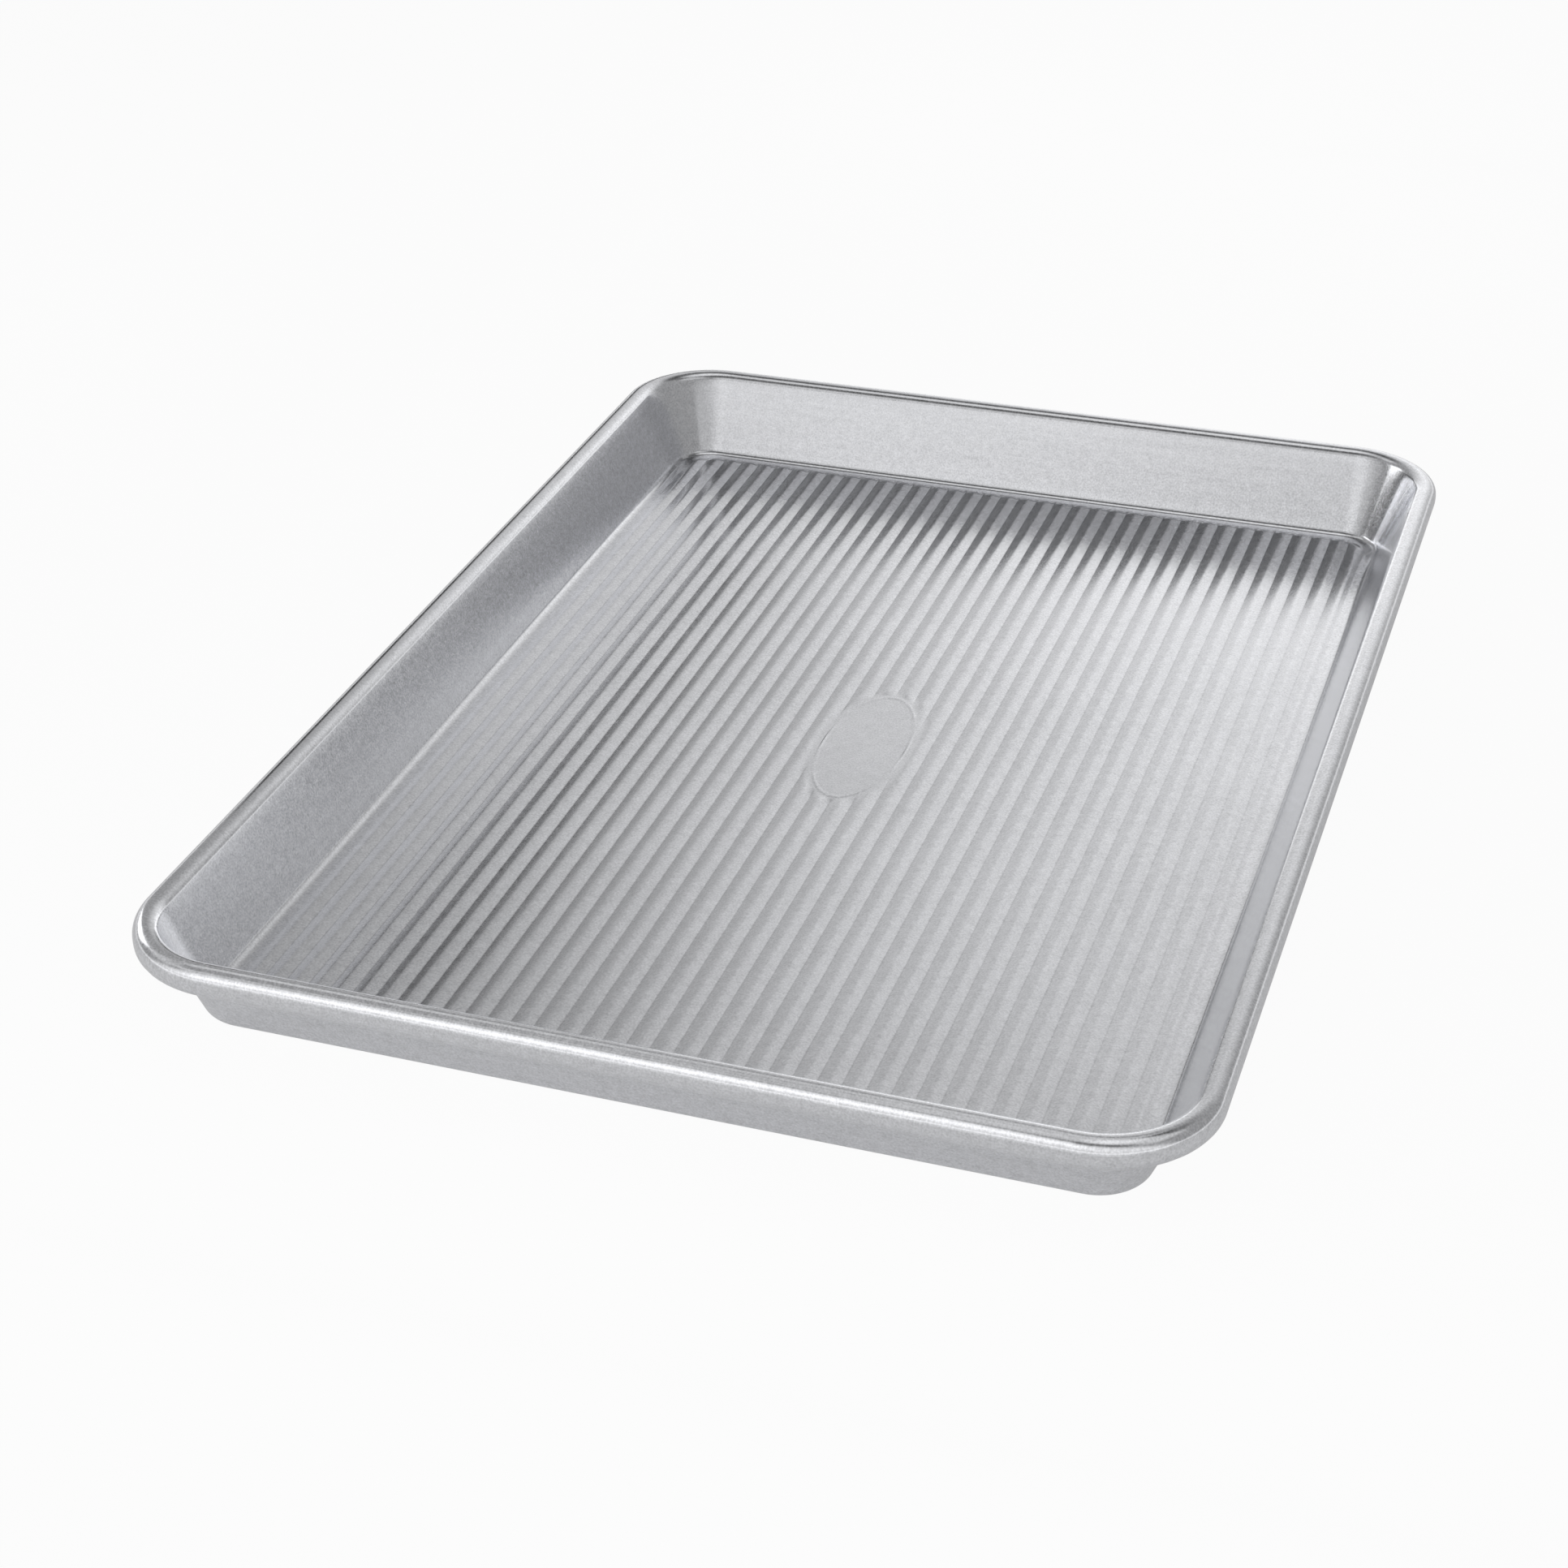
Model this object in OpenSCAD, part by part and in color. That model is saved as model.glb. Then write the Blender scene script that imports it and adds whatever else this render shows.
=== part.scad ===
// Jelly roll pan: one pressed sheet with a ribbed floor, flared walls and a rim rolled over a steel wire.
// The origin is at the middle of the underside, the long side runs along Y and +Z is up.

/* [Overall] */
// Length over the rim, along Y
pan_l = 387.4; // [320:0.1:460]
// Width over the rim, along X
pan_w = 260.4; // [200:0.1:320]
// Height from the underside to the top of the rim
pan_h = 25.4; // [22:0.1:32]
// Radius of the rim's outer edge at the corners, seen from above
rim_corner_r = 28; // [25:0.5:60]

/* [Sheet] */
// Thickness of the sheet
sheet_t = 0.8; // [0.6:0.05:1.2]
// Lean of the walls from upright, in degrees
wall_flare = 23; // [12:0.5:26]
// Inside radius where the floor turns up into the walls
floor_fillet_r = 2.5; // [1.5:0.1:3.5]

/* [Rolled rim] */
// Diameter of the steel wire inside the roll
wire_d = 5; // [3.6:0.1:6]
// Clearance between the wire and the sheet rolled over it
wire_gap = 0.1; // [0.05:0.05:0.3]
// Straight drop on the roll's outer side, below the middle of the wire
roll_drop = 1.2; // [1:0.1:2.5]
// How far the roll turns back under the wire, in degrees from its outer side
roll_turn = 165; // [120:1:166]

/* [Ribs] */
// Distance from one rib to the next, across the pan
rib_pitch = 5.85; // [4:0.05:10]
// Height of a rib above the valleys beside it
rib_h = 0.6; // [0.3:0.05:0.75]
// Softness of a rib's crest, as the height that the rounding takes off its peak
crest_round = 0.12; // [0.02:0.01:0.3]
// Least flat margin between the ribs and the foot of the walls
floor_margin = 1.2; // [0.9:0.1:12]
// Extra thickness under the valleys, which gives the underside its narrow flats
valley_flat = 0.06; // [0.03:0.01:0.15]

/* [Oval pad] */
// Length of the flat oval pad in the middle of the floor, along the ribs
pad_l = 59.4; // [20:0.1:90]
// Width of the oval pad, across the ribs
pad_w = 23.8; // [12:0.1:60]
// Width of the raised line round the pad's edge
pad_line_w = 0.7; // [0.4:0.1:2]
// Height of that line above the pad
pad_line_h = 0.15; // [0.1:0.05:0.4]

/* [Hidden] */
round_fn = 96;

// Roll and wire, in the section's plane: x from a corner's axis outwards, y up
roll_in_r = wire_d / 2 + wire_gap;
roll_out_r = roll_in_r + sheet_t;
wire_x = rim_corner_r - roll_out_r;
wire_z = pan_h - roll_out_r;
wire_at = [wire_x, wire_z];

// Directions along the leaning wall and square to it, and where it runs into the roll
wall_up = [sin(wall_flare), cos(wall_flare)];
wall_out = [cos(wall_flare), -sin(wall_flare)];
wall_top = wire_at - wall_out * roll_out_r;

// How far, in degrees of arc, the wall reaches into the bent stretches at its two ends
lap_angle = 8;

// Fillet between the floor and the wall
fillet_z = sheet_t + floor_fillet_r;
fillet_x = wall_top.x + (wall_up.x * (fillet_z - wall_top.y) - floor_fillet_r) / wall_up.y;
fillet_at = [fillet_x, fillet_z];
wall_foot = fillet_at + wall_out * floor_fillet_r;

// Corner axes and the flat part of the floor, measured from the middle
axis_x = pan_w / 2 - rim_corner_r;
axis_y = pan_l / 2 - rim_corner_r;
flat_x = axis_x + fillet_x;
flat_y = axis_y + fillet_x;

// Ribs: as many as fit between the margins, centred
field_x = flat_x - floor_margin;
field_y = flat_y - floor_margin;
field_r = fillet_x - floor_margin;
rib_count = floor(2 * field_x / rib_pitch);
rib_steps = 8;
crest_peak = rib_h + crest_round;
flank_slope = 2 * sqrt(crest_peak * crest_peak - crest_round * crest_round) / rib_pitch;

// Pad: halfway up the ribs, lapping the sheet round it
pad_z = sheet_t + rib_h / 2;
pad_lap = sheet_t / 2;
pad_sides = 72;
past = 2;

// Point at a distance and an angle from the origin
function polar(distance, angle) = distance * [cos(angle), sin(angle)];

// Height of a rib's top above the valley, at a distance from its crest line
function rib_rise(from_crest) =
    crest_peak - sqrt(crest_round * crest_round + pow(flank_slope * from_crest, 2));

// Points of all ribs' tops from one side to the other, raised by lift
function rib_line(lift) = [
    for (i = [0 : rib_count * rib_steps])
        let (across = (i / rib_steps) * rib_pitch, from_crest = (i % rib_steps) / rib_steps * rib_pitch)
            [across - rib_count * rib_pitch / 2, lift + rib_rise(abs(from_crest - rib_pitch / 2))]
];

// Ring sector about the origin, from one angle to another
module arc_band(inside_r, outside_r, from, to) {
    reach = 2 * outside_r;
    turns = ceil((to - from) / 60);
    intersection() {
        difference() {
            circle(r = outside_r, $fn = round_fn);
            circle(r = inside_r, $fn = round_fn);
        }
        polygon(concat([[0, 0]], [
            for (i = [0 : turns])
                polar(reach, from + (to - from) * i / turns)
        ]));
    }
}

// Section of the sheet from a corner's axis to the end of the roll
module sheet_section() {
    square([fillet_x, sheet_t]);
    translate(fillet_at)
        arc_band(floor_fillet_r, floor_fillet_r + sheet_t, -90, -wall_flare);
    polygon([
        fillet_at + polar(floor_fillet_r + sheet_t / 2, -wall_flare - lap_angle),
        wall_foot + wall_out * sheet_t,
        wall_top + wall_out * sheet_t,
        wire_at + polar(roll_in_r + sheet_t / 2, 180 - wall_flare - lap_angle),
        wall_top,
        wall_foot
    ]);
    translate(wire_at)
        arc_band(roll_in_r, roll_out_r, 0, 180 - wall_flare);
    translate([wire_x + roll_in_r, wire_z - roll_drop])
        square([sheet_t, roll_drop]);
    translate([wire_x, wire_z - roll_drop])
        arc_band(roll_in_r, roll_out_r, -roll_turn, 0);
}

// Carries a section in the corner's plane round the pan: four corners and four straight sides
module around_pan() {
    for (side = [0 : 3]) {
        out = side % 2 == 0 ? axis_x : axis_y;
        along = side % 2 == 0 ? axis_y : axis_x;
        rotate(90 * side)
            translate([out, along, 0]) {
                rotate_extrude(angle = 90, $fn = round_fn) children();
                rotate([90, 0, 0]) linear_extrude(2 * along) children();
            }
    }
}

// Block over the ribbed field, with rounded corners, drawn in by a width all round
module field_block(inset) {
    corner_r = field_r - inset;
    translate([0, 0, -past])
        linear_extrude(past + pan_h) {
            square(2 * [axis_x, axis_y + corner_r], center = true);
            square(2 * [axis_x + corner_r, axis_y], center = true);
            for (x = [-axis_x, axis_x], y = [-axis_y, axis_y])
                translate([x, y]) circle(r = corner_r, $fn = round_fn);
        }
}

// Oval block on z = bottom, grown by a width all round
module oval_block(grow, bottom, height) {
    translate([0, 0, bottom])
        linear_extrude(height)
            polygon([
                for (i = [0 : pad_sides - 1])
                    let (angle = 360 * i / pad_sides)
                        [(pad_w / 2 + grow) * cos(angle), (pad_l / 2 + grow) * sin(angle)]
            ]);
}

// Bar along the pan under the ribs' line, closed at z = bottom and shifted up by lift
module rib_bar(lift, bottom) {
    line = rib_line(lift);
    translate([0, pan_l / 2, 0])
        rotate([90, 0, 0])
            linear_extrude(pan_l)
                polygon(concat(line, [[line[len(line) - 1].x, bottom], [line[0].x, bottom]]));
}

// Ribs above the floor's sheet, inside the margins
module rib_tops() {
    intersection() {
        rib_bar(sheet_t, 0);
        field_block(0);
    }
}

// Hollows under the ribs, one sheet's thickness short of the ribs' ends
module rib_hollows() {
    intersection() {
        rib_bar(-valley_flat, -past);
        field_block(sheet_t);
    }
}

// Oval pad halfway up the ribs, with a plain raised line along its edge
module pad() {
    oval_block(pad_lap, pad_z - sheet_t, sheet_t);
    difference() {
        oval_block(0, pad_z - sheet_t / 2, sheet_t / 2 + pad_line_h);
        oval_block(-pad_line_w, pad_z, past);
    }
}

module pan_shell() {
    color("silver")
        union() {
            difference() {
                union() {
                    around_pan() sheet_section();
                    translate([0, 0, sheet_t / 2]) cube([2 * axis_x, 2 * axis_y, sheet_t], center = true);
                    rib_tops();
                }
                rib_hollows();
                oval_block(0, -past, past + pan_h);
            }
            pad();
        }
}

module rim_wire() {
    color("dimgray")
        around_pan() translate(wire_at) circle(d = wire_d, $fn = round_fn);
}

pan_shell();
rim_wire();
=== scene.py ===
"""Jelly roll pan of coated steel sheet: ribbed floor, flared walls and a rim rolled over a wire.

The sheet is one closed mesh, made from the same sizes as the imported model. The wire keeps its own solid.
"""

import logging
import math
from dataclasses import dataclass, field
from enum import Enum, auto
from typing import Iterable, Sequence, Union

import bpy
import numpy as np
from mathutils import Matrix, Vector


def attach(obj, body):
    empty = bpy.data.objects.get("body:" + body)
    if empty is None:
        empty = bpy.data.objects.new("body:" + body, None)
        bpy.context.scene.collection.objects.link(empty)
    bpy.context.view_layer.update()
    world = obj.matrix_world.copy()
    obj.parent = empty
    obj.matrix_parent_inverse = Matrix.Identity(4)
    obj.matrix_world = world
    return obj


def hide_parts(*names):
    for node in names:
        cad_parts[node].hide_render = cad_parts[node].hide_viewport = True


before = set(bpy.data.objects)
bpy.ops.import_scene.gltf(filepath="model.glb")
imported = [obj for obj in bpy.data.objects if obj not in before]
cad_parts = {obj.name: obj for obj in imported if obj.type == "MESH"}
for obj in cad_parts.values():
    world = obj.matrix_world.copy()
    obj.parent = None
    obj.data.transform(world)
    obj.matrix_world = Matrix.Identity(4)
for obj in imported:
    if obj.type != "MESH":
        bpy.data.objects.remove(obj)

LOG = logging.getLogger("jelly_roll_pan")
MM = 0.001
TINY = 1e-9
PLACE_DIGITS = 4
WHITE = (1.0, 1.0, 1.0, 1.0)

Value = Union["Signal", float, tuple[float, ...]]


# Shader maths


class Signal:
    """One output of a shader node; Python's operators on it add Math nodes."""

    def __init__(self, bench: "Bench", socket: bpy.types.NodeSocket | None) -> None:
        """Keep the socket and the bench that its node stands on."""
        self.bench = bench
        self.socket = socket

    def _math(self, operation: str, first: Value, second: Value) -> "Signal":
        """Add one Math node on two values."""
        return self.bench.node("ShaderNodeMath", {"operation": operation}, {0: first, 1: second})

    def __add__(self, other: Value) -> "Signal":
        """Sum."""
        return self._math("ADD", self, other)

    __radd__ = __add__

    def __sub__(self, other: Value) -> "Signal":
        """Difference."""
        return self._math("SUBTRACT", self, other)

    def __rsub__(self, other: Value) -> "Signal":
        """Difference, reflected."""
        return self._math("SUBTRACT", other, self)

    def __mul__(self, other: Value) -> "Signal":
        """Product."""
        return self._math("MULTIPLY", self, other)

    __rmul__ = __mul__


class Bench:
    """Node tree of one material or of the world, filled through one method."""

    def __init__(self, tree: bpy.types.NodeTree) -> None:
        """Clear the tree and keep it."""
        tree.nodes.clear()
        self.tree = tree

    def node(
        self,
        kind: str,
        settings: dict[str, object] | None = None,
        values: dict[int | str, Value] | None = None,
        output: int | str = 0,
    ) -> Signal:
        """Add a node, set it up and feed its sockets.

        Args:
            kind: Blender's type of the node.
            settings: the node's own settings; "stops" are a colour ramp's (place, grey) pairs.
            values: what goes into its sockets, by name or number: a Signal, a number or a tuple.
            output: the output to hand back.

        Returns:
            The chosen output.
        """
        made = self.tree.nodes.new(kind)
        for name, value in (settings or {}).items():
            if name == "stops":
                ramp = made.color_ramp.elements
                while len(ramp) < len(value):
                    ramp.new(1.0)
                for stop, (place, grey) in zip(ramp, value):
                    stop.position = place
                    stop.color = (grey, grey, grey, 1.0)
            else:
                setattr(made, name, value)
        for name, value in (values or {}).items():
            if isinstance(value, Signal):
                self.tree.links.new(value.socket, made.inputs[name])
            else:
                made.inputs[name].default_value = value
        return Signal(self, made.outputs[output] if made.outputs else None)


def new_material(name: str) -> tuple[bpy.types.Material, Bench]:
    """Make an empty node material.

    Args:
        name: the material's name.

    Returns:
        The material and the bench for its nodes.
    """
    material = bpy.data.materials.new(name)
    material.use_nodes = True
    return material, Bench(material.node_tree)


def noise(bench: Bench, place: Signal, size_mm: float, detail: float) -> Signal:
    """Add a noise texture.

    Args:
        bench: the bench of the material.
        place: where the texture is read.
        size_mm: size of its grains, in millimetres.
        detail: how many finer layers lie on it.

    Returns:
        Its value, from -0.5 to 0.5.
    """
    sockets = {"Vector": place, "Scale": 1 / (size_mm * MM), "Detail": detail}
    return bench.node("ShaderNodeTexNoise", None, sockets) - 0.5


# Finishes


@dataclass(frozen=True)
class Metal:
    """Metal whose tone, roughness and relief vary over its surface."""

    name: str
    tone: tuple[float, float, float]
    shine: float
    relief_mm: float
    relief_share: float

    def join(self, bench: Bench, level: Signal, rough: Signal, height: Signal) -> None:
        """Join the varying values to the metal's shader.

        Args:
            bench: the bench of the material.
            level: brightness, where 1 leaves the tone as it is.
            rough: roughness.
            height: height of the relief, where 1 is relief_mm.
        """
        colour = bench.node("ShaderNodeVectorMath", {"operation": "SCALE"}, {0: self.tone, "Scale": level})
        relief = bench.node(
            "ShaderNodeBump",
            None,
            {"Strength": self.relief_share, "Distance": self.relief_mm * MM, "Height": height},
        )
        shader = bench.node(
            "ShaderNodeBsdfPrincipled",
            None,
            {"Base Color": colour, "Metallic": 1.0, "Roughness": rough, "Normal": relief},
        )
        bench.node("ShaderNodeOutputMaterial", None, {"Surface": shader})


@dataclass(frozen=True)
class CoatedSteel(Metal):
    """Satin aluminised steel: fine spangle, soft mottling, faint level streaks and painted shade along the
    valley lines.
    """

    name: str = "coated_steel"
    tone: tuple[float, float, float] = (0.776, 0.782, 0.806)
    shine: float = 0.20
    relief_mm: float = 0.05
    relief_share: float = 0.10
    detail: float = 2.0
    grain_mm: float = 0.55
    grain_tone: float = 0.58
    grain_shine: float = 0.12
    grain_relief: float = 0.6
    mottle_mm: float = 2.2
    mottle_tone: float = 0.24
    mottle_shine: float = 0.06
    ripple_mm: float = 4.0
    ripple_relief: float = 1.2
    streak_mm: float = 1.3
    streak_long: float = 0.03
    streak_tone: float = 0.12
    # painted shade: how far the colour darkens along each rib valley
    crease_shade_tone: float = 0.18

    def build(self) -> bpy.types.Material:
        """Build the finish's material.

        Returns:
            The material.
        """
        material, bench = new_material(self.name)
        place = bench.node("ShaderNodeTexCoord", output="Object")
        grain = noise(bench, place, self.grain_mm, self.detail)
        mottle = noise(bench, place, self.mottle_mm, self.detail)
        ripple = noise(bench, place, self.ripple_mm, self.detail)
        drawn = bench.node(
            "ShaderNodeVectorMath",
            {"operation": "MULTIPLY"},
            {0: place, 1: (self.streak_long, self.streak_long, 1.0)},
        )
        streak = noise(bench, drawn, self.streak_mm, self.detail)
        # painted shade: the valley mask darkens the colour along each rib valley, where shade falls
        crease = bench.node("ShaderNodeAttribute", {"attribute_name": "crease"}, output="Fac")
        spangle = grain * self.grain_tone + mottle * self.mottle_tone
        level = 1.0 + spangle + streak * self.streak_tone - crease * self.crease_shade_tone
        rough = self.shine + grain * self.grain_shine + mottle * self.mottle_shine
        height = grain * self.grain_relief + ripple * self.ripple_relief
        self.join(bench, level, rough, height)
        return material


@dataclass(frozen=True)
class DrawnWire(Metal):
    """Bare steel wire with fine marks."""

    name: str = "drawn_wire"
    tone: tuple[float, float, float] = (0.50, 0.50, 0.49)
    shine: float = 0.43
    relief_mm: float = 0.03
    relief_share: float = 0.2
    detail: float = 4.0
    mark_mm: float = 0.8
    mark_tone: float = 0.3
    mark_shine: float = 0.1

    def build(self) -> bpy.types.Material:
        """Build the finish's material.

        Returns:
            The material.
        """
        material, bench = new_material(self.name)
        place = bench.node("ShaderNodeTexCoord", output="Object")
        marks = noise(bench, place, self.mark_mm, self.detail)
        self.join(bench, 1.0 + marks * self.mark_tone, self.shine + marks * self.mark_shine, marks)
        return material


# Mesh building


class Face(Enum):
    """Side of the sheet that a surface belongs to."""

    INSIDE = auto()
    UNDERSIDE = auto()


class Shell:
    """Gathers the points and faces of one closed mesh, in millimetres."""

    def __init__(self) -> None:
        """Start with no points and no faces."""
        self.points: list[np.ndarray] = []
        self.crease_shades: list[np.ndarray] = []
        self.faces: list[tuple[int, ...]] = []
        self.count = 0

    def add(self, points: np.ndarray, crease: np.ndarray | None = None) -> np.ndarray:
        """Add points.

        Args:
            points: an array whose last axis holds x, y and z.
            crease: how much painted shade each point takes along a rib valley, from 0 to 1; none where left
                out.

        Returns:
            Their numbers, in the array's shape.
        """
        flat = points.reshape(-1, 3)
        self.points.append(flat)
        self.crease_shades.append(np.zeros(len(flat)) if crease is None else crease.ravel())
        numbers = np.arange(self.count, self.count + len(flat)).reshape(points.shape[:-1])
        self.count += len(flat)
        return numbers

    def quads(self, *corners: np.ndarray) -> None:
        """Add one quad for each place in four equal arrays of point numbers."""
        self.faces.extend(zip(*(corner.ravel().tolist() for corner in corners)))

    def loft(self, rings: np.ndarray) -> None:
        """Join closed rings of equal length, one after another.

        Args:
            rings: point numbers, one row for each ring.
        """
        ahead = np.roll(rings, -1, axis=1)
        self.quads(rings[:-1], rings[1:], ahead[1:], ahead[:-1])

    def stitch(self, inner: np.ndarray, outer: np.ndarray, side: Face) -> None:
        """Close the strip between two rings of unequal length with triangles, by their bearings.

        Args:
            inner: point numbers of the inner ring, anticlockwise from above.
            outer: the same for the outer ring.
            side: the side of the sheet that the strip faces.
        """
        cloud = np.concatenate(self.points)
        full = 2 * math.pi
        turns = [np.unwrap(np.arctan2(cloud[ring, 1], cloud[ring, 0])) for ring in (inner, outer)]
        turns[1] = turns[1] + full * round((turns[0][0] - turns[1][0]) / full)
        inner_turn, outer_turn = (np.append(turn, turn[0] + full) for turn in turns)
        i = j = 0
        while i < len(inner) or j < len(outer):
            here, there = int(inner[i % len(inner)]), int(outer[j % len(outer)])
            if j >= len(outer) or (i < len(inner) and inner_turn[i + 1] < outer_turn[j + 1]):
                i += 1
                face = (here, there, int(inner[i % len(inner)]))
            else:
                j += 1
                face = (here, there, int(outer[j % len(outer)]))
            self.faces.append(face if side is Face.INSIDE else face[::-1])

    def mesh(self, name: str) -> bpy.types.Mesh:
        """Turn the points and faces into a mesh, in metres.

        Args:
            name: the mesh's name.

        Returns:
            The mesh, shaded smooth, with the mask of its painted valley shade kept.
        """
        data = bpy.data.meshes.new(name)
        data.from_pydata((np.concatenate(self.points) * MM).tolist(), [], self.faces)
        data.validate()
        data.update()
        data.shade_smooth()
        # mask of the painted shade along the rib valleys, read by the finish
        mark = data.attributes.new("crease", "FLOAT", "POINT")
        mark.data.foreach_set("value", np.concatenate(self.crease_shades).astype(np.float32))
        return data


def smooth(t: np.ndarray) -> np.ndarray:
    """Ease from 0 to 1, flat at both ends, held outside."""
    t = np.clip(t, 0.0, 1.0)
    return t * t * (3 - 2 * t)


def arc(centre: Sequence[float], radius: float, start: float, end: float, steps: int) -> np.ndarray:
    """Points of a circle's arc in the section's plane, both ends included.

    Args:
        centre: the circle's centre.
        radius: its radius.
        start: first angle, in degrees.
        end: last angle, in degrees.
        steps: number of steps between them.

    Returns:
        The points, one row each.
    """
    turn = np.radians(np.linspace(start, end, steps + 1))
    return np.stack([centre[0] + radius * np.cos(turn), centre[1] + radius * np.sin(turn)], 1)


def line(start: Sequence[float], end: Sequence[float], steps: int) -> np.ndarray:
    """Points of a straight line, both ends included."""
    t = np.linspace(0, 1, steps + 1)[:, None]
    return np.asarray(start) * (1 - t) + np.asarray(end) * t


# The pan


@dataclass(frozen=True)
class GridPlan:
    """How closely one face of the floor is meshed.

    A stretch of rows is given by its first row, its last row and their number. The middle's rows are
    in millimetres from the pan's middle. The end's rows are shares of the way from there to the fillet.
    """

    flank: tuple[float, ...]
    pad_step: float | None
    middle: tuple[tuple[float, float, int], ...]
    end: tuple[tuple[float, float, int], ...]

    def rows(self) -> tuple[np.ndarray, np.ndarray]:
        """Work out the places of the rows along the floor.

        Returns:
            The middle's rows, from end to end, and one end's shares.
        """
        middle, end = (
            np.concatenate([np.linspace(*stretch) for stretch in part]) for part in (self.middle, self.end)
        )
        return np.concatenate([-middle[:0:-1], middle]), end


GRID_PLANS = {
    Face.INSIDE: GridPlan(
        flank=(0.0, 0.12, 0.40, 1.0, 1.9, 2.5),
        pad_step=0.4,
        middle=((0.0, 17.6, 9), (19.0, 31.6, 22), (34.0, 160.0, 6)),
        end=((0.2, 0.66, 3), (0.7, 1.0, 17)),
    ),
    Face.UNDERSIDE: GridPlan(
        flank=(0.0, 0.30, 1.5),
        pad_step=None,
        middle=((0.0, 33.0, 12), (40.0, 160.0, 6)),
        end=((0.3, 0.7, 2), (0.78, 1.0, 7)),
    ),
}


@dataclass
class PanSheet:
    """The pressed sheet, in millimetres and degrees: ribbed floor, pad, flared walls and rolled rim."""

    length: float = 387.4
    width: float = 260.4
    height: float = 25.4
    corner_r: float = 28.0
    sheet: float = 0.8
    flare: float = 23.0
    fillet_r: float = 2.5
    wire_d: float = 5.0
    gap: float = 0.1
    drop: float = 1.2
    turn: float = 165.0
    pitch: float = 5.85
    rib_h: float = 0.6
    crest_round: float = 0.12
    margin: float = 1.2
    under_flat: float = 0.06
    end_fade: float = 2.4
    pad_long: float = 59.4
    pad_wide: float = 23.8
    pad_line: float = 0.7
    pad_line_h: float = 0.15
    pad_flat: float = 0.5
    pad_halo: float = 3.0
    pad_border: float = 1.7
    crease_shade_wide: float = 0.22
    # width of the painted shade along each rib valley
    draw_mark: float = 0.03
    draw_waves: tuple[tuple[int, float], ...] = ((5, 1.0), (9, 0.6), (14, 0.35))
    draw_phase: float = 2.1
    floor_inset: float = 0.35
    least_column: float = 0.04
    corner_columns: tuple[float, ...] = (0, 5, 10, 15, 20, 25, 30)
    sharp_edge: float = 50.0
    corner_steps: int = 40
    long_steps: int = 10
    short_steps: int = 8
    fillet_steps: int = 12
    wall_steps: int = 8
    outer_wall_steps: int = 6
    roll_steps: int = 26
    hem_steps: int = 22
    lining_steps: int = 14

    def __post_init__(self) -> None:
        """Work out the places that follow from the sizes."""
        self.roll_in = self.wire_d / 2 + self.gap
        self.roll_out = self.roll_in + self.sheet
        self.wire_at = np.array([self.corner_r - self.roll_out, self.height - self.roll_out])
        lean = math.radians(self.flare)
        self.up = np.array([math.sin(lean), math.cos(lean)])
        self.out = np.array([math.cos(lean), -math.sin(lean)])
        self.wall_top = self.wire_at - self.out * self.roll_out
        fillet_z = self.sheet + self.fillet_r
        reach = self.up[0] * (fillet_z - self.wall_top[1]) - self.fillet_r
        self.fillet_at = np.array([self.wall_top[0] + reach / self.up[1], fillet_z])
        self.wall_foot = self.fillet_at + self.out * self.fillet_r
        self.axis = np.array([self.width / 2 - self.corner_r, self.length / 2 - self.corner_r])
        self.grid_corner = self.fillet_at[0] - self.floor_inset
        flat_half = self.axis[0] + self.fillet_at[0]
        self.ribs = math.floor(2 * (flat_half - self.margin) / self.pitch)
        self.peak = self.rib_h + self.crest_round
        self.slope = 2 * math.sqrt(self.peak**2 - self.crest_round**2) / self.pitch
        self.pad_z = self.sheet + self.rib_h / 2

    # Heights of the floor

    def inside_field(self, x: np.ndarray, y: np.ndarray) -> np.ndarray:
        """Measure how far points of the floor lie inside the ribbed field.

        Args:
            x: places across the pan.
            y: places along the pan.

        Returns:
            Distances to the field's edge, negative outside it.
        """
        corner = self.fillet_at[0] - self.margin
        dx = np.abs(x) - self.axis[0]
        dy = np.abs(y) - self.axis[1]
        outside = np.hypot(np.maximum(dx, 0), np.maximum(dy, 0)) + np.minimum(np.maximum(dx, dy), 0)
        return corner - outside

    def rib_rise(self, x: np.ndarray) -> np.ndarray:
        """Work out the height of the ribs above their valleys.

        Args:
            x: places across the pan.

        Returns:
            The heights.
        """
        from_crest = np.abs((x / self.pitch) % 1.0 - 0.5) * self.pitch
        rise = self.peak - np.sqrt(self.crest_round**2 + (self.slope * from_crest) ** 2)
        return np.where(np.abs(x) < self.ribs * self.pitch / 2, np.maximum(rise, 0), 0)

    def pad_reach(self, x: np.ndarray, y: np.ndarray) -> np.ndarray:
        """Measure how far points of the floor lie from the oval pad.

        Args:
            x: places across the pan.
            y: places along the pan.

        Returns:
            Distances to the pad's edge, negative on the pad.
        """
        a, b = self.pad_wide / 2, self.pad_long / 2
        level = np.hypot(x / a, y / b) + TINY
        slope = np.hypot(x / a**2, y / b**2) / level + TINY
        return (level - 1) / slope

    def off_pad(self, x: np.ndarray, y: np.ndarray) -> np.ndarray:
        """Share of the ribs that is left near the pad, from 0 on it to 1 beyond its halo."""
        return smooth((self.pad_reach(x, y) - self.pad_flat) / self.pad_halo)

    def floor_top(self, x: np.ndarray, y: np.ndarray) -> np.ndarray:
        """Work out the height of the floor's upper face.

        Args:
            x: places across the pan.
            y: places along the pan.

        Returns:
            The heights.
        """
        ribs = self.rib_rise(x) * smooth(self.inside_field(x, y) / self.end_fade)
        keep = self.off_pad(x, y)
        level = (self.pad_z - self.sheet) * (1 - keep) + ribs * keep
        from_line = self.pad_reach(x, y) + self.pad_line / 2
        ridge = self.pad_line_h * np.clip(1 - (2 * from_line / self.pad_line) ** 2, 0, 1)
        return self.sheet + level + ridge

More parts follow.
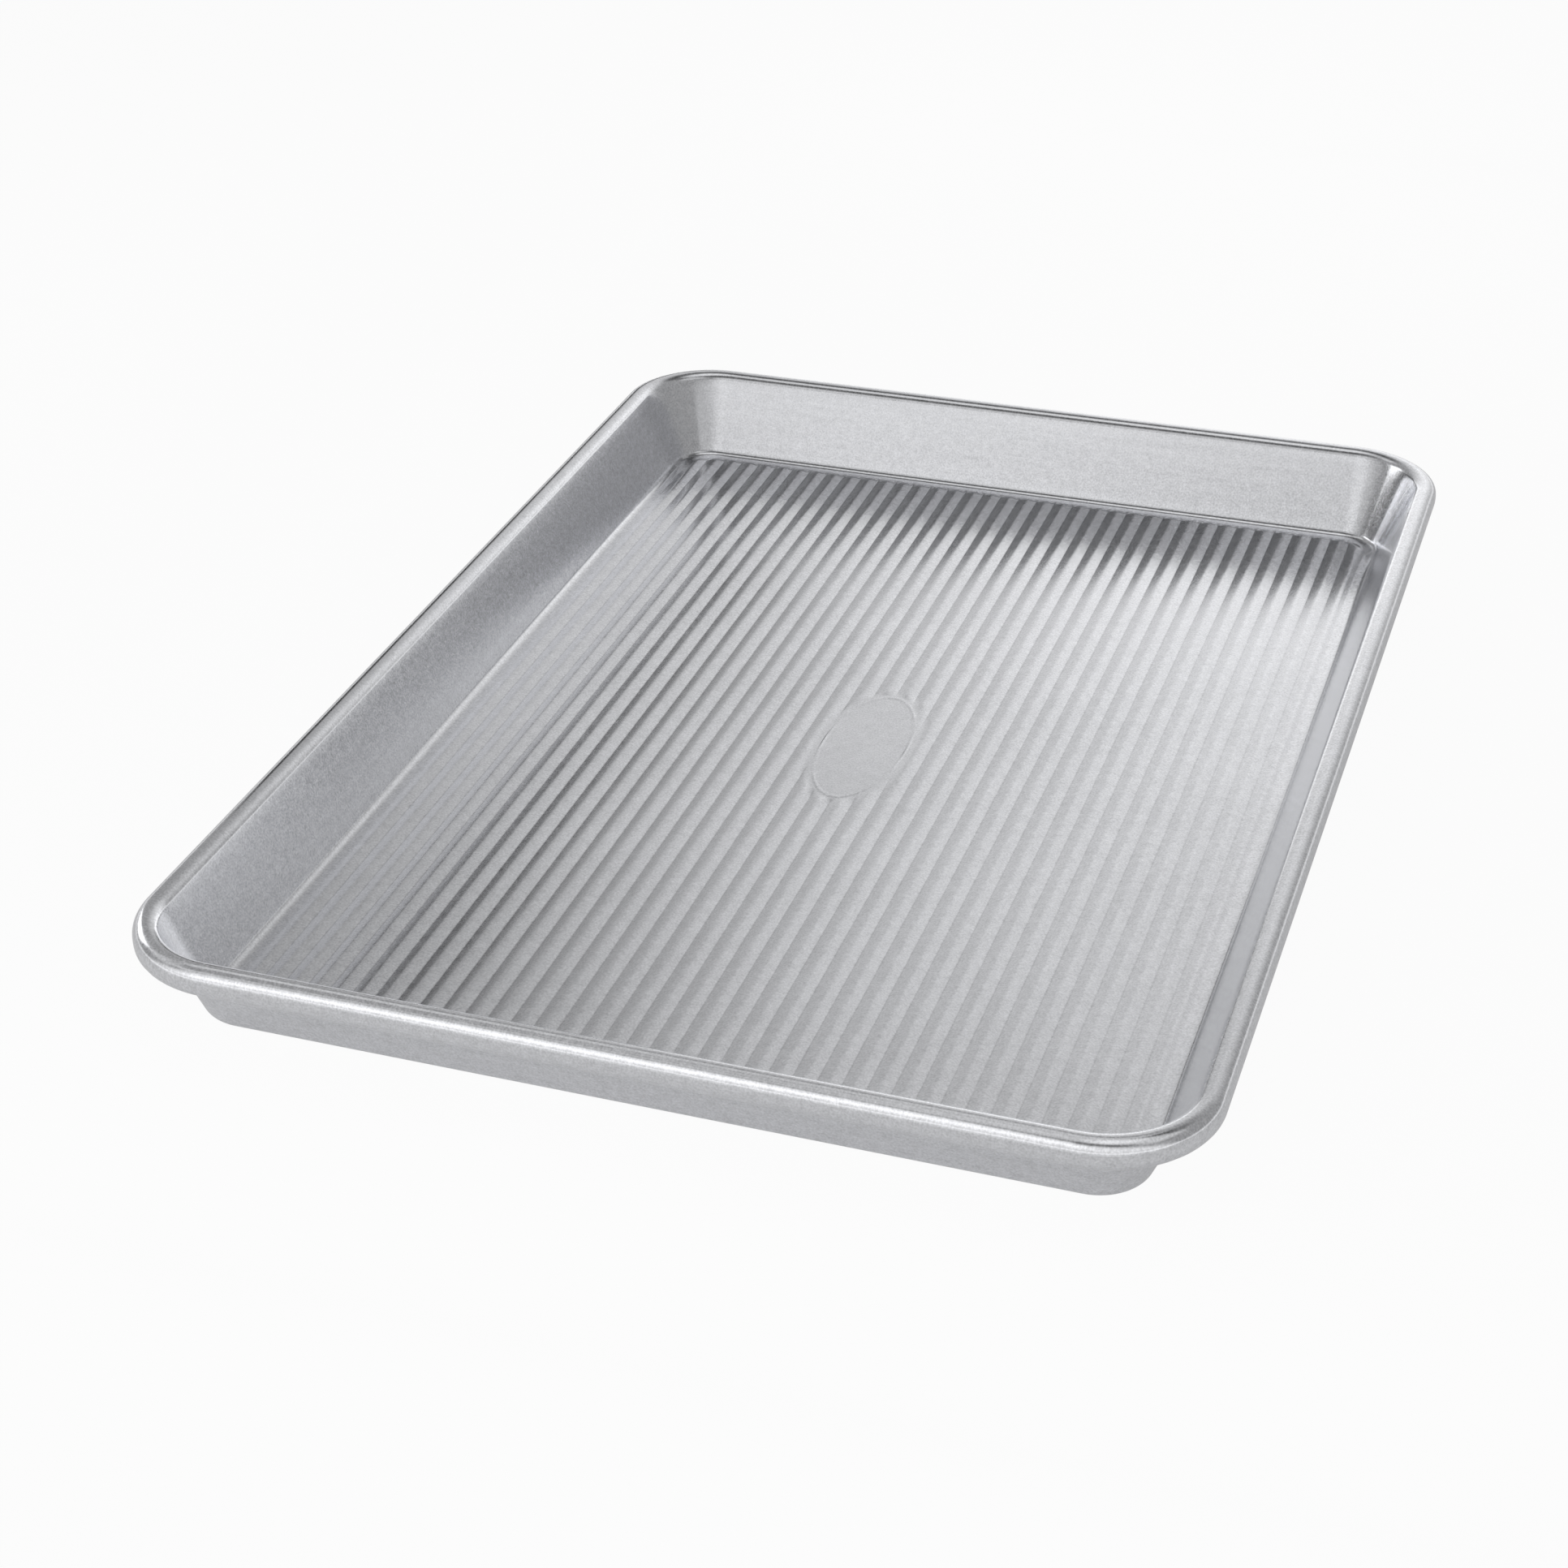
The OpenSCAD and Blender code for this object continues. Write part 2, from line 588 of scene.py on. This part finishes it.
    def floor_under(self, x: np.ndarray, y: np.ndarray) -> np.ndarray:
        """Work out the height of the floor's lower face.

        Args:
            x: places across the pan.
            y: places along the pan.

        Returns:
            The heights.
        """
        ribs = np.maximum(self.rib_rise(x) - self.under_flat, 0)
        ribs = ribs * smooth((self.inside_field(x, y) - self.sheet) / self.end_fade)
        keep = self.off_pad(x, y)
        return (self.pad_z - self.sheet) * (1 - keep) + ribs * keep

    def crease(self, x: np.ndarray, y: np.ndarray) -> np.ndarray:
        """Work out how much painted shade points of the floor take along a rib valley.

        Args:
            x: places across the pan.
            y: places along the pan.

        Returns:
            Shares from 0 to 1.
        """
        from_valley = np.abs((x / self.pitch + 0.5) % 1.0 - 0.5) * self.pitch
        fold = np.clip(1 - from_valley / self.crease_shade_wide, 0, 1)
        ribbed = smooth(self.inside_field(x, y) / self.end_fade)
        return fold * ribbed * self.off_pad(x, y)

    # The floor's grid

    def columns(self, plan: GridPlan) -> np.ndarray:
        """Place the columns across the floor: the ribs' own, the pad's and the rounded corners'.

        Args:
            plan: how closely the face is meshed.

        Returns:
            Places from left to right.
        """
        flank = np.array(plan.flank)
        rib = np.concatenate([flank, [self.pitch / 2], self.pitch - flank[:0:-1]])
        across = (np.arange(self.ribs)[:, None] - self.ribs / 2) * self.pitch + rib
        places = [across.ravel(), [self.ribs * self.pitch / 2]]
        if plan.pad_step:
            count = round((self.pad_wide / 2 + self.pad_border) / plan.pad_step)
            places.append(np.arange(-count, count + 1) * plan.pad_step)
        corner = self.axis[0] + self.grid_corner * np.cos(np.radians(self.corner_columns))
        places += [corner, -corner]
        merged = np.unique(np.round(np.concatenate(places), PLACE_DIGITS))
        keep = np.concatenate([[True], np.diff(merged) > self.least_column])
        keep[-1] = True
        return merged[keep]

    def floor_grid(self, shell: Shell, side: Face) -> np.ndarray:
        """Lay the grid of one face of the floor.

        Args:
            shell: the mesh in the making.
            side: the face of the floor.

        Returns:
            The point numbers of the grid's edge, anticlockwise from above.
        """
        plan = GRID_PLANS[side]
        x = self.columns(plan)
        middle, shares = plan.rows()
        bulge = np.maximum(np.abs(x) - self.axis[0], 0)
        limit = self.axis[1] + np.sqrt(np.maximum(self.grid_corner**2 - bulge**2, 0))
        start = middle[-1]
        end = start + (limit[:, None] - start) * shares
        y = np.concatenate([-end[:, ::-1], np.broadcast_to(middle, (len(x), len(middle))), end], 1)
        x = np.broadcast_to(x[:, None], y.shape)
        if side is Face.INSIDE:
            grid = shell.add(np.stack([x, y, self.floor_top(x, y)], -1), self.crease(x, y))
        else:
            grid = shell.add(np.stack([x, y, self.floor_under(x, y)], -1))
        cells = [grid[:-1, :-1], grid[1:, :-1], grid[1:, 1:], grid[:-1, 1:]]
        if side is Face.UNDERSIDE:
            cells = [cells[0], *cells[:0:-1]]
        shell.quads(*cells)
        edge = [grid[-1, :-1], grid[:0:-1, -1], grid[0, :0:-1], grid[:-1, 0]]
        return np.concatenate(edge)

    # The walls and the rim

    def section(self) -> np.ndarray:
        """Draw the sheet's section from the floor's upper face round the rim to its lower face.

        Returns:
            Its points, one row each: distance outwards from the corners' axes, and height.
        """
        wire_x, wire_z = self.wire_at
        low = (wire_x, wire_z - self.drop)
        edge = 180 - self.flare
        foot, top = self.wall_foot, self.wall_top
        thick = self.out * self.sheet
        pieces = [
            arc(self.fillet_at, self.fillet_r, -90, -self.flare, self.fillet_steps),
            line(foot, top, self.wall_steps)[1:-1],
            arc(self.wire_at, self.roll_out, edge, 0, self.roll_steps),
            arc(low, self.roll_out, 0, -self.turn, self.hem_steps),
            arc(low, self.roll_in, -self.turn, 0, self.lining_steps),
            arc(self.wire_at, self.roll_in, 0, edge, self.lining_steps),
            line(top + thick, foot + thick, self.outer_wall_steps)[1:-1],
            arc(self.fillet_at, self.fillet_r + self.sheet, -self.flare, -90, self.fillet_steps),
        ]
        return np.concatenate(pieces)

    def draw_marks(self, corner: int, z: float) -> np.ndarray:
        """Work out the shallow upright folds that drawing leaves in a corner of the wall.

        Args:
            corner: the corner's number.
            z: height of the ring.

        Returns:
            One outward shift for each point round the corner.
        """
        low, high = self.wall_foot[1], self.wall_top[1]
        rise = (z - low) / (high - low)
        if not 0 < rise < 1:
            return np.zeros(self.corner_steps + 1)
        share = np.linspace(0, 1, self.corner_steps + 1)
        folds = sum(
            part * np.cos(2 * math.pi * count * share + self.draw_phase * corner + count)
            for count, part in self.draw_waves
        )
        return self.draw_mark * folds * np.sin(math.pi * share) ** 2 * math.sqrt(math.sin(math.pi * rise))

    def round_pan(self, reach: float, z: float) -> np.ndarray:
        """Draw the plan of a ring round the pan, anticlockwise from the middle of the right side.

        Args:
            reach: distance outwards from the corners' axes.
            z: height of the ring.

        Returns:
            The ring's points, one row each.
        """
        arcs = []
        for number, side in enumerate([(1, 1), (-1, 1), (-1, -1), (1, -1)]):
            turn = np.radians(np.linspace(90 * number, 90 * number + 90, self.corner_steps + 1))
            far = reach + self.draw_marks(number, z)
            outward = np.column_stack([np.cos(turn), np.sin(turn)])
            arcs.append(np.array(side) * self.axis + far[:, None] * outward)
        ring = []
        for number, piece in enumerate(arcs):
            following = arcs[(number + 1) % 4]
            steps = self.short_steps if number % 2 == 0 else self.long_steps
            ring += [piece, line(piece[-1], following[0], steps)[1:-1]]
        return np.roll(np.concatenate(ring), self.long_steps // 2, axis=0)

    def build(self) -> bpy.types.Object:
        """Build the sheet's mesh.

        Returns:
            The sheet, in place.
        """
        shell = Shell()
        rings = []
        for reach, z in self.section():
            plan = self.round_pan(reach, z)
            rings.append(shell.add(np.column_stack([plan, np.full(len(plan), z)])))
        shell.loft(np.array(rings))
        shell.stitch(self.floor_grid(shell, Face.INSIDE), rings[0], Face.INSIDE)
        shell.stitch(self.floor_grid(shell, Face.UNDERSIDE), rings[-1], Face.UNDERSIDE)
        data = shell.mesh("pan_sheet")
        data.set_sharp_from_angle(angle=math.radians(self.sharp_edge))
        sheet = bpy.data.objects.new("pan_sheet", data)
        bpy.context.scene.collection.objects.link(sheet)
        return sheet

    def dress(self, sheet: bpy.types.Object, finish: CoatedSteel) -> None:
        """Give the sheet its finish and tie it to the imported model.

        Args:
            sheet: the sheet's object.
            finish: what it is made of.
        """
        sheet.data.materials.append(finish.build())
        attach(sheet, "root")
        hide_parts("pan_shell")
        LOG.info("sheet: %d points, %d faces", len(sheet.data.vertices), len(sheet.data.polygons))


@dataclass
class RimWire:
    """The wire inside the rolled rim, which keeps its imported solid."""

    node: str = "rim_wire"

    def dress(self, finish: DrawnWire) -> None:
        """Give the wire's solid its finish.

        Args:
            finish: what it is made of.
        """
        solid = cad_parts[self.node]
        solid.data.materials.clear()
        solid.data.materials.append(finish.build())
        LOG.info("wire: %d points", len(solid.data.vertices))


# The studio


def flat_piece(name: str, points: Sequence[Sequence[float]]) -> bpy.types.Object:
    """Make a flat four-sided piece of the studio.

    Args:
        name: its name.
        points: its corners in order, in millimetres.

    Returns:
        The piece, in place.
    """
    data = bpy.data.meshes.new(name)
    data.from_pydata((np.array(points) * MM).tolist(), [], [(0, 1, 2, 3)])
    piece = bpy.data.objects.new(name, data)
    bpy.context.scene.collection.objects.link(piece)
    return piece


@dataclass
class Lamp:
    """One soft panel of light, in millimetres, aimed at a point."""

    name: str
    at: tuple[float, float, float]
    aim: tuple[float, float, float]
    size: tuple[float, float]
    glow: float

    def build(self) -> bpy.types.Object:
        """Hang the lamp; its glow is the brightness of its face, where 1 is white.

        Returns:
            The lamp.
        """
        data = bpy.data.lights.new(self.name, "AREA")
        data.shape = "RECTANGLE"
        data.size, data.size_y = (side * MM for side in self.size)
        data.energy = self.glow * data.size * data.size_y * math.pi
        lamp = bpy.data.objects.new(self.name, data)
        lamp.location = Vector(self.at) * MM
        lamp.rotation_euler = (Vector(self.aim) - Vector(self.at)).to_track_quat("-Z", "Y").to_euler()
        lamp.visible_camera = False
        bpy.context.scene.collection.objects.link(lamp)
        return lamp


@dataclass(frozen=True)
class Glow:
    """One soft spot of light on a wall, in millimetres: its middle, how far it fades and its brightness."""

    across: float
    up: float
    wide: float
    high: float
    level: float

    def light(self, across: Signal, up: Signal) -> Signal:
        """Work out the spot's light.

        Args:
            across: place across the wall, in metres.
            up: height on the wall, in metres.

        Returns:
            Its brightness, where 1 is white.
        """
        side = (across - self.across * MM) * (1 / (self.wide * MM))
        rise = (up - self.up * MM) * (1 / (self.high * MM))
        fade = (side * side + rise * rise) * -1.0
        return across.bench.node("ShaderNodeMath", {"operation": "EXPONENT"}, {0: fade}) * self.level


@dataclass
class LightWall:
    """See-through upright wall, in millimetres, on which soft spots glow; the camera doesn't see it."""

    name: str
    far: float
    glows: tuple[Glow, ...]
    half: float = 1100.0
    height: float = 900.0

    def build(self) -> bpy.types.Object:
        """Hang the wall.

        Returns:
            The wall.
        """
        half, far, top = self.half, self.far, self.height
        rectangle = [(-half, 0), (half, 0), (half, top), (-half, top)]
        wall = flat_piece(self.name, [(x, far, z) for x, z in rectangle])
        wall.visible_camera = False
        material, bench = new_material(self.name)
        place = bench.node("ShaderNodeTexCoord", output="Object")
        across = bench.node("ShaderNodeSeparateXYZ", None, {0: place}, output="X")
        up = bench.node("ShaderNodeSeparateXYZ", None, {0: place}, output="Z")
        light = sum(glow.light(across, up) for glow in self.glows)
        colour = bench.node("ShaderNodeVectorMath", {"operation": "SCALE"}, {0: WHITE[:3], "Scale": light})
        shine = bench.node("ShaderNodeEmission", None, {"Color": colour, "Strength": 1.0})
        clear = bench.node("ShaderNodeBsdfTransparent", None, {"Color": WHITE})
        both = bench.node("ShaderNodeAddShader", None, {0: shine, 1: clear})
        bench.node("ShaderNodeOutputMaterial", None, {"Surface": both})
        wall.data.materials.append(material)
        return wall


@dataclass
class DarkCard:
    """Upright dark card beside the pan, in millimetres, which the left flanks of the ribs mirror."""

    name: str = "left_dark_card"
    side: float = -200.0
    along: tuple[float, float] = (-20.0, 460.0)
    rise: tuple[float, float] = (44.0, 86.0)
    tone: float = 0.06

    def build(self) -> bpy.types.Object:
        """Stand the card up.

        Returns:
            The card.
        """
        (near, far), (low, high), side = self.along, self.rise, self.side
        rectangle = [(near, low), (far, low), (far, high), (near, high)]
        card = flat_piece(self.name, [(side, *corner) for corner in rectangle])
        card.visible_camera = False
        material, bench = new_material(self.name)
        matt = bench.node("ShaderNodeBsdfDiffuse", None, {"Color": (self.tone, self.tone, self.tone, 1.0)})
        bench.node("ShaderNodeOutputMaterial", None, {"Surface": matt})
        card.data.materials.append(material)
        return card


@dataclass
class Studio:
    """Pale floor, surroundings shaded by height, glowing walls, soft lamps and a dark card."""

    floor_half: float = 3000.0
    floor_gap: float = 0.02
    floor_tone: float = 0.75
    floor_white: float = 0.95
    floor_shown: float = 0.25
    sky: tuple[tuple[float, float], ...] = (
        (0.07, 1.0),
        (0.14, 0.32),
        (0.50, 0.36),
        (0.76, 0.34),
        (0.86, 0.05),
        (0.93, 0.10),
        (0.98, 0.45),
    )
    walls: list[LightWall] = field(default_factory=list)
    lamps: list[Lamp] = field(default_factory=list)
    card: DarkCard = field(default_factory=DarkCard)

    def lay_floor(self) -> bpy.types.Object:
        """Lay the pale floor just under the pan.

        Returns:
            The floor.
        """
        half, tone = self.floor_half, self.floor_tone
        rectangle = [(-half, -half), (half, -half), (half, half), (-half, half)]
        floor = flat_piece("studio_floor", [(*corner, 0) for corner in rectangle])
        floor.location.z = -self.floor_gap * MM
        material, bench = new_material("pale_floor")
        matt = bench.node("ShaderNodeBsdfDiffuse", None, {"Color": (tone, tone, tone, 1.0)})
        white = bench.node("ShaderNodeEmission", None, {"Color": WHITE, "Strength": 1.0})
        seen = bench.node("ShaderNodeLightPath", output="Is Camera Ray")
        mirrored = bench.node("ShaderNodeLightPath", output="Is Glossy Ray")
        through = bench.node("ShaderNodeLightPath", output="Is Transmission Ray")
        share = seen * self.floor_white + (mirrored + through) * self.floor_shown
        mixed = bench.node("ShaderNodeMixShader", None, {0: share, 1: matt, 2: white})
        bench.node("ShaderNodeOutputMaterial", None, {"Surface": mixed})
        floor.data.materials.append(material)
        return floor

    def light_world(self) -> None:
        """Light the surroundings by height: white at the horizon and grey above it."""
        world = bpy.data.worlds.new("surroundings")
        bpy.context.scene.world = world
        world.use_nodes = True
        bench = Bench(world.node_tree)
        toward = bench.node("ShaderNodeTexCoord", output="Generated")
        height = bench.node("ShaderNodeSeparateXYZ", None, {0: toward}, output="Z")
        sky = bench.node("ShaderNodeValToRGB", {"stops": self.sky}, {"Fac": height})
        glow = bench.node("ShaderNodeBackground", None, {"Color": sky, "Strength": 1.0})
        bench.node("ShaderNodeOutputWorld", None, {"Surface": glow})

    def build(self) -> None:
        """Build the floor, the surroundings, the card, the walls and the lamps."""
        self.lay_floor()
        self.light_world()
        self.card.build()
        for piece in (*self.walls, *self.lamps):
            piece.build()


@dataclass
class Viewpoint:
    """The photograph's camera: its place in millimetres, its angles in degrees, its picture in pixels."""

    at: tuple[float, float, float] = (204.55, -710.86, 407.72)
    heading: float = 19.912
    tilt: float = -29.448
    roll: float = -0.797
    focal_px: float = 3782.6
    axis_px: tuple[float, float] = (842.3, 961.3)
    frame_px: float = 1932.0
    sensor: float = 36.0
    clip: tuple[float, float] = (10.0, 20000.0)

    def build(self) -> None:
        """Set up the camera."""
        data = bpy.data.cameras.new("viewpoint")
        data.sensor_width = self.sensor
        data.lens = self.focal_px / self.frame_px * self.sensor
        data.shift_x = (self.frame_px / 2 - self.axis_px[0]) / self.frame_px
        data.shift_y = -(self.frame_px / 2 - self.axis_px[1]) / self.frame_px
        data.clip_start, data.clip_end = (distance * MM for distance in self.clip)
        turned = Matrix.Identity(4)
        for angle, axis in ((self.heading, "Z"), (90 + self.tilt, "X"), (self.roll, "Z")):
            turned = turned @ Matrix.Rotation(math.radians(angle), 4, axis)
        camera = bpy.data.objects.new("viewpoint", data)
        camera.matrix_world = Matrix.Translation(Vector(self.at) * MM) @ turned
        bpy.context.scene.collection.objects.link(camera)
        bpy.context.scene.camera = camera


def corners(box: Iterable[Iterable[float]]) -> list[list[float]]:
    """A box's two corners as plain lists."""
    return [list(corner) for corner in box]


WALLS = [
    LightWall(
        "back_wall",
        560,
        (
            Glow(100, 180, 200, 120, 0.56),
            Glow(100, 420, 320, 220, 0.41),
            Glow(-100, 60, 200, 120, 0.53),
            Glow(-280, 300, 200, 130, 0.20),
        ),
    ),
    LightWall("near_wall", -262, (Glow(0, 72, 420, 50, 0.72),)),
    LightWall("front_wall", -750, (Glow(-450, 300, 300, 150, 0.40), Glow(-150, 450, 300, 150, 0.32))),
]
LAMPS = [
    Lamp("left_panel", (-600, 100, 250), (0, 100, 250), (300, 200), 1.6),
    Lamp("front_left_ceiling", (-300, -550, 650), (-300, -550, 0), (600, 400), 0.35),
    Lamp("middle_ceiling", (-150, 150, 650), (-150, 150, 0), (700, 260), 0.50),
    Lamp("near_ceiling", (-60, -190, 200), (-60, -190, 0), (700, 140), 0.26),
    Lamp("right_ceiling", (350, -150, 650), (350, -150, 0), (500, 400), 0.33),
]


def main() -> None:
    """Build the pan, the studio and the camera, and note the sizes."""
    logging.basicConfig(level=logging.INFO, format="%(name)s: %(message)s")
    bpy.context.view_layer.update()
    scene = bpy.context.scene
    scene.view_settings.view_transform = "Standard"
    pan = PanSheet()
    pan.dress(pan.build(), CoatedSteel())
    RimWire().dress(DrawnWire())
    Studio(walls=WALLS, lamps=LAMPS).build()
    Viewpoint().build()


if __name__ == "__main__":
    main()
